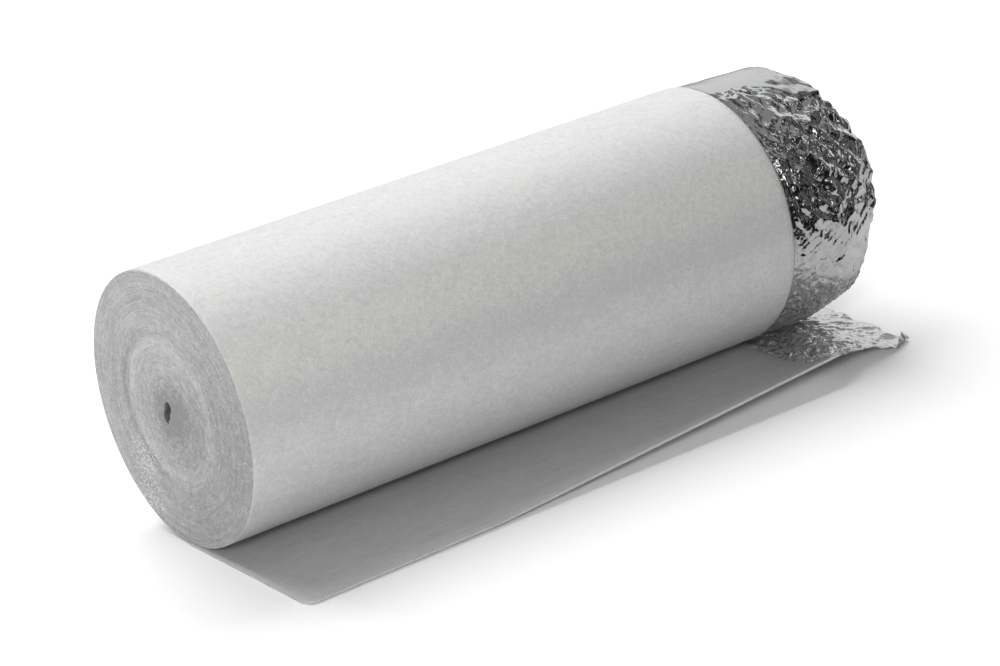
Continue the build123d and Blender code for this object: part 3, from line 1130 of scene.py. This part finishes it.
# White specks of painted glint on torn foil, common near two spots.
PAINTED_GLINT = (0.97, 0.97, 0.97, 1)
GLINT_CELLS = 1050.0
GLINT_AT = ((0.47, 0.51), (0.45, 0.25))
GLINT_REACH = 0.023
GLINT_MOST, GLINT_LEAST = 0.42, 0.002


def turn_lines(tree, wound, edge, arcs, rim):
    """How strongly the line between two turns shows, zero off the line."""
    line = math_node(tree, "GREATER_THAN", edge, 1 - LINE_SHARE)
    marked = ramp(tree, arcs, *LINE_ARCS, *LINE_MARKED)
    marked = math_node(tree, "MAXIMUM", marked, ramp(tree, wound, *OUTER_LINES, OUTER_MARKED, 0.0))
    return times(tree, line, times(tree, marked, ramp(tree, rim, 0.0, 1.0, 1.0, RIM_MARKED)))


def painted_glints(tree, place):
    """One on a speck of foil with a painted glint, common near two spots and rare elsewhere."""
    cells = add(tree, "TexVoronoi", {"Vector": place, "Scale": GLINT_CELLS})
    number = add(tree, "SeparateColor", {"Color": cells.outputs["Color"]}).outputs["Red"]
    chances = []
    for y, z in GLINT_AT:
        middle = (CUT_X, AXIS_Y + y * RADIUS, z * RADIUS)
        apart = vector_node(tree, "DISTANCE", place, middle)["Value"]
        chances.append(ramp(tree, apart, 0.0, GLINT_REACH, GLINT_MOST, GLINT_LEAST))
    return math_node(tree, "LESS_THAN", number, math_node(tree, "MAXIMUM", *chances))


def foam_cut():
    """Cut foam: its tone with painted light and shade, the turns' lines, painted glints, grain."""
    material, tree, shader = new_material("foam_cut")
    place = object_place(tree)
    centred = vector_node(tree, "SUBTRACT", place, (CUT_X, AXIS_Y, RADIUS))[0]
    towards = vector_node(tree, "NORMALIZE", centred)[0]
    wound, edge = attribute(tree, "wound"), attribute(tree, "edge")
    mottle = use_group(tree, grain, place, CUT_GRAIN)
    arcs = cut_arcs(tree, towards, wound)
    tone, rim = cut_tone(tree, towards, wound, mottle["Tone"], arcs)
    colour = mix_colour(tree, tone, CUT_DARK, CUT_LIGHT)
    colour = mix_colour(tree, turn_lines(tree, wound, edge, arcs, rim), colour, TURN_LINE)
    # The specks of torn foil get painted glints in white.
    feed(tree, shader, {
        "Base Color": mix_colour(tree, painted_glints(tree, place), colour, PAINTED_GLINT),
        "Roughness": CUT_ROUGH,
        "Normal": bump(tree, with_share(tree, mottle["Height"], EDGE_SUNK, edge), *CUT_BUMP),
    })
    return material


cut = foam_cut()

# %% [markdown]
# All the foil is aluminium: metallic, pale, and mirror-like where it is
# crumpled, because each facet is still a smooth bit of foil. Where it was
# rubbed it is rougher: on the smooth top layer and a little in the dull foil
# under the collar, which has the deepest small creases. The dull foil is also
# given a darker colour, as painted shade. Creases too small for the mesh are
# bump.

# %% Crumpled foil
FOIL_COLOUR = (0.76, 0.765, 0.77, 1)
FOIL_MILKY = (0.68, 0.68, 0.68, 1)
# The dull foil's colour, darkened as painted shade.
FOIL_DULL_SHADED = (0.58, 0.585, 0.59, 1)
CREASE_SQUEEZE = (1.7, 1.0, 1.0)
COARSE_CREASE, FINE_CREASE, TINY_CREASE = 210.0, 290.0, 700.0
FINE_DEEP, TINY_DEEP, CREASE_BUMP = 0.14, 0.015, (1.0, 0.0003)
SMOOTH_CREASED, DULL_CREASED = 0.06, 2.0
MIRROR_ROUGH, DULL_ROUGHER, SMOOTH_ROUGHER = 0.07, 0.05, 0.16
DULL_METAL = 0.85


def foil_crumpled():
    """Bright foil, milky where it is smooth, and greyer with painted shade where it is dull."""
    material, tree, shader = new_material("foil_crumpled")
    place = object_place(tree)
    smooth, dull = attribute(tree, "smooth"), attribute(tree, "dull")
    squeezed = add(tree, "Mapping", {"Vector": place, "Scale": CREASE_SQUEEZE}).outputs[0]
    height = use_group(tree, creases, squeezed, COARSE_CREASE)["Height"]
    for share, scale in ((FINE_DEEP, FINE_CREASE), (TINY_DEEP, TINY_CREASE)):
        height = with_share(tree, height, share, use_group(tree, creases, place, scale)["Height"])
    depth = with_share(tree, ramp(tree, smooth, 0.0, 1.0, 1.0, SMOOTH_CREASED), DULL_CREASED, dull)
    rough = with_share(tree, MIRROR_ROUGH, DULL_ROUGHER, dull)
    # Where the foil is dull it is rougher, and its colour is darker as painted shade.
    feed(tree, shader, {
        "Base Color": mix_colour(tree, dull, mix_colour(tree, smooth, FOIL_COLOUR, FOIL_MILKY), FOIL_DULL_SHADED),
        "Metallic": ramp(tree, dull, 0.0, 1.0, 1.0, DULL_METAL),
        "Roughness": with_share(tree, rough, SMOOTH_ROUGHER, smooth),
        "Normal": bump(tree, times(tree, height, depth), *CREASE_BUMP),
    })
    return material


bright = foil_crumpled()

# %% [markdown]
# Bonded to the foam, the foil has taken on the foam's fine grain, so it is
# satin and much less of a mirror, with faint streaks along the roll. Where it
# is loose it is bright again, and close to the foam it is crushed into many
# small creases.

# %% Bonded foil
SATIN_DARK = (0.66, 0.665, 0.67, 1)
SATIN_LIGHT = (0.81, 0.815, 0.82, 1)
FLAP_COLOUR = (0.82, 0.825, 0.83, 1)
STREAK_STRETCH = (0.10, 1.0, 1.0)
STREAK_GRAIN, SATIN_GRAIN, FLAP_CREASE = 500.0, 420.0, 300.0
SATIN_SHARE, STREAK_SHARE, SATIN_DEEP, SATIN_BUMP = 0.5, 0.5, 0.35, (1.0, 0.00028)
CRUSHED_FROM, CRUSHED_TO, CRUSHED_DEEP = RIM_X + 0.030, RIM_X + 0.060, 2.6
BONDED_METAL, LOOSE_METAL = 0.40, 0.80
BONDED_ROUGH, LOOSE_ROUGH, CRUSHED_ROUGHER = 0.52, 0.20, -0.12


def foil_bonded():
    """Satin foil on the free end, bright and crumpled where it is loose."""
    material, tree, shader = new_material("foil_bonded")
    place = object_place(tree)
    loose = attribute(tree, "loose")
    drawn = add(tree, "Mapping", {"Vector": place, "Scale": STREAK_STRETCH}).outputs[0]
    streaks = use_group(tree, grain, drawn, STREAK_GRAIN)
    mottle = use_group(tree, grain, place, SATIN_GRAIN)
    tone = with_share(tree, times(tree, mottle["Tone"], SATIN_SHARE), STREAK_SHARE, streaks["Tone"])
    along = add(tree, "SeparateXYZ", {"Vector": place}).outputs["X"]
    crushed = times(tree, loose, ramp(tree, along, CRUSHED_FROM, CRUSHED_TO, 1.0, 0.0))
    crease = use_group(tree, creases, place, FLAP_CREASE)["Height"]
    height = times(tree, crease, with_share(tree, loose, CRUSHED_DEEP, crushed))
    rough = ramp(tree, loose, 0.0, 1.0, BONDED_ROUGH, LOOSE_ROUGH)
    feed(tree, shader, {
        "Base Color": mix_colour(tree, loose, mix_colour(tree, tone, SATIN_DARK, SATIN_LIGHT), FLAP_COLOUR),
        "Metallic": ramp(tree, loose, 0.0, 1.0, BONDED_METAL, LOOSE_METAL),
        "Roughness": with_share(tree, rough, CRUSHED_ROUGHER, crushed),
        "Normal": bump(tree, with_share(tree, height, SATIN_DEEP, mottle["Height"]), *SATIN_BUMP),
    })
    return material


satin_foil = foil_bonded()

# %% [markdown]
# Each piece gets its finish. The roll has two: its faces on the cut end take
# the second one.

# %% The finishes go on
def dress(piece, *finishes):
    """Gives a piece its finishes, the first one everywhere."""
    for finish in finishes:
        piece.data.materials.append(finish)
    print(piece.name, "has", [finish.name for finish in finishes])


dress(roll, skin, cut)
roll.data.polygons.foreach_set("material_index", on_cut_end)
dress(free_foam, skin)
dress(collar, bright)
dress(turns, bright)
dress(foil_free, satin_foil)

# %% [markdown]
# The studio: a white floor, a large soft lamp above and behind the roll, a
# small one in front, and a room that is pale behind the roll and dark behind
# the camera. The foil needs that contrast, because a mirror only shows what
# is around it, and the foam gets its soft fall from a white top to a grey
# front from it.
#
# Where the camera, a mirror or glass looks at the floor, its colour is a
# little stronger, so that it reads as white and still keeps the roll's
# shadow. In mirrors it ends a little in front of the roll, as a table does.
# Further off, the floor and the room are plain white, to the camera alone.

# %% The floor
FLOOR_COLOUR = (0.86, 0.86, 0.86, 1)
FLOOR_SEEN = (1.15, 1.15, 1.15, 1)
FLOOR_MIRRORED = (0.61, 0.61, 0.61, 1)
FLOOR_FAR = (0.015, 0.015, 0.015, 1)
BLACK, WHITE = (0.0, 0.0, 0.0, 1), (1.0, 1.0, 1.0, 1)
FRONT = (0.0, -1.0, 0.0)
TABLE_NEAR, TABLE_FAR = 0.20, 0.50
BACKDROP_FROM, BACKDROP_TO = 0.8, 1.6
FLOOR_HALF = 12.0


def floor_material():
    """A matt white that reads stronger to the camera and to mirrors.

    Mirrors see it grow dark towards the front, and the camera sees it glow
    white in the distance.
    """
    material, tree, shader = new_material("floor_white")
    path = add(tree, "LightPath").outputs
    place = object_place(tree)
    forward = vector_node(tree, "DOT_PRODUCT", place, FRONT)["Value"]
    off_table = ramp(tree, forward, TABLE_NEAR, TABLE_FAR, 0.0, 1.0)
    mirrored = mix_colour(tree, off_table, FLOOR_MIRRORED, FLOOR_FAR)
    looked_at = mix_colour(tree, path["Is Glossy Ray"], FLOOR_SEEN, mirrored)
    seen = math_node(tree, "MAXIMUM", path["Is Camera Ray"], path["Is Glossy Ray"])
    seen = math_node(tree, "MAXIMUM", seen, path["Is Transmission Ray"])
    distance = vector_node(tree, "LENGTH", place)["Value"]
    backdrop = ramp(tree, distance, BACKDROP_FROM, BACKDROP_TO, 0.0, 1.0)
    material.cycles.emission_sampling = "NONE"
    feed(tree, shader, {
        "Base Color": mix_colour(tree, seen, FLOOR_COLOUR, looked_at),
        "Roughness": 1.0,
        "Specular IOR Level": 0.0,
        "Emission Color": mix_colour(tree, times(tree, path["Is Camera Ray"], backdrop), BLACK, WHITE),
        "Emission Strength": 1.0,
    })
    return material


corners = [(x * FLOOR_HALF, y * FLOOR_HALF, 0) for x, y in ((-1, -1), (1, -1), (1, 1), (-1, 1))]
floor_mesh = bpy.data.meshes.new("floor")
floor_mesh.from_pydata(corners, [], [(0, 1, 2, 3)])
floor = bpy.data.objects.new("floor", floor_mesh)
bpy.context.scene.collection.objects.link(floor)
dress(floor, floor_material())

# %% [markdown]
# The room is a world that picks its colour by direction, with no walls to
# build. Cloudy noise puts a few grey things and small bright windows into its
# dark part, and they are what the crumpled foil mirrors.

# %% The room
AWAY = (0.57, 0.82, 0.0)
ROOM_CLOUDS, GREY_THINGS, WINDOWS = (2.2, 2.0, 0.5), (0.42, 0.66), (0.645, 0.66)
PALE_WALLS, CEILING = (0.40, 0.75), (0.70, 0.95)
ROOM_BLACK = (0.010, 0.010, 0.010, 1)
ROOM_GREY = (0.15, 0.148, 0.145, 1)
ROOM_PALE = (0.80, 0.805, 0.81, 1)
ROOM_CEILING = (0.25, 0.251, 0.252, 1)
ROOM_WINDOW = (1.4, 1.4, 1.4, 1)


def room():
    """A world that is pale away from the camera, and dark with greys behind it.

    The dark part has a few small windows, and the ceiling is grey. All that
    lights the roll and shows in the foil, and the camera sees plain white.
    """
    world = bpy.data.worlds.new("studio_room")
    world.use_nodes = True
    tree = world.node_tree
    tree.nodes.clear()
    direction = add(tree, "TexCoord").outputs["Generated"]
    away = vector_node(tree, "DOT_PRODUCT", direction, AWAY)["Value"]
    up = add(tree, "SeparateXYZ", {"Vector": direction}).outputs["Z"]
    things = noise(tree, direction, *ROOM_CLOUDS)
    dark = mix_colour(tree, ramp(tree, things, *GREY_THINGS, 0.0, 1.0), ROOM_BLACK, ROOM_GREY)
    dark = mix_colour(tree, ramp(tree, things, *WINDOWS, 0.0, 1.0), dark, ROOM_WINDOW)
    walls = mix_colour(tree, ramp(tree, away, *PALE_WALLS, 0.0, 1.0), dark, ROOM_PALE)
    around = mix_colour(tree, ramp(tree, up, *CEILING, 0.0, 1.0), walls, ROOM_CEILING)
    colour = mix_colour(tree, add(tree, "LightPath").outputs["Is Camera Ray"], around, WHITE)
    background = add(tree, "Background", {"Color": colour})
    add(tree, "OutputWorld", {"Surface": background.outputs[0]})
    print("room", world.name)
    return world


bpy.context.scene.world = room()

# %% [markdown]
# Two lamps light all this. The large one behind the roll makes the soft
# shadow in front, and the small one in front keeps the cut end from going
# dark. Both are hidden from mirrors: a lamp seen in the foil would be a white
# blot.

# %% The lamps
def soft_lamp(name, place, size, watts, colour):
    """A lamp of some width and depth at a place, turned to face the roll."""
    data = bpy.data.lights.new(name, "AREA")
    data.shape = "RECTANGLE"
    data.size, data.size_y = size
    data.energy = watts
    data.color = colour
    lamp = bpy.data.objects.new(name, data)
    lamp.location = place
    lamp.visible_glossy = False
    lamp.rotation_euler = (Vector((0, 0, RADIUS)) - Vector(place)).to_track_quat("-Z", "Y").to_euler()
    bpy.context.scene.collection.objects.link(lamp)
    print(name, "at", place, "with", watts, "watts")


soft_lamp("lamp_behind", (0.05, 1.0, 1.8), (1.8, 1.4), 38.5, (1.0, 1.0, 1.0))
soft_lamp("lamp_front", (-1.3, -1.3, 0.88), (0.35, 0.35), 14, (1.0, 0.99, 0.98))
bpy.context.scene.view_settings.view_transform = "Standard"
